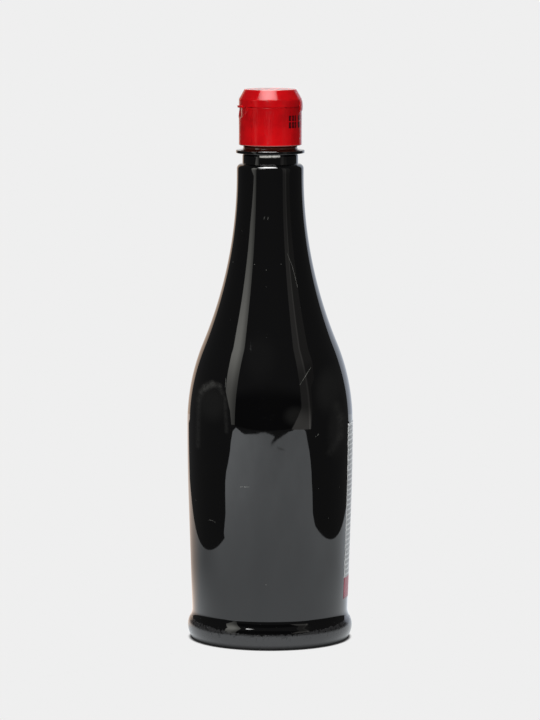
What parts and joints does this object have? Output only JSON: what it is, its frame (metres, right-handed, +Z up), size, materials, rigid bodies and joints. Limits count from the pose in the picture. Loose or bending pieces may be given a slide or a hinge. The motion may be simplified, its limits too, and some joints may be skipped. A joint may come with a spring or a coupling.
{
  "type": "pomegranate sauce bottle",
  "caption": "Tall round black plastic sauce bottle with a beaded foot, a long sloping neck, a red flip-top cap and a label round its back.",
  "frame": {"origin": "on the floor, under the middle of the base", "axes": "+Z up along the bottle's axis; -Y towards the pictured front; +X to the right, where the label's edge shows"},
  "size_m": [0.0805, 0.0805, 0.2662],
  "materials": {
    "bottle_plastic": "glossy black, opaque",
    "cap_plastic": "satin red",
    "label_paper": "printed white film, satin"
  },
  "bodies": {
    "root": {"bottle": "bottle_plastic", "cap_base": "cap_plastic", "cap_lid": "cap_plastic", "label": "label_paper"}
  },
  "joints": []
}
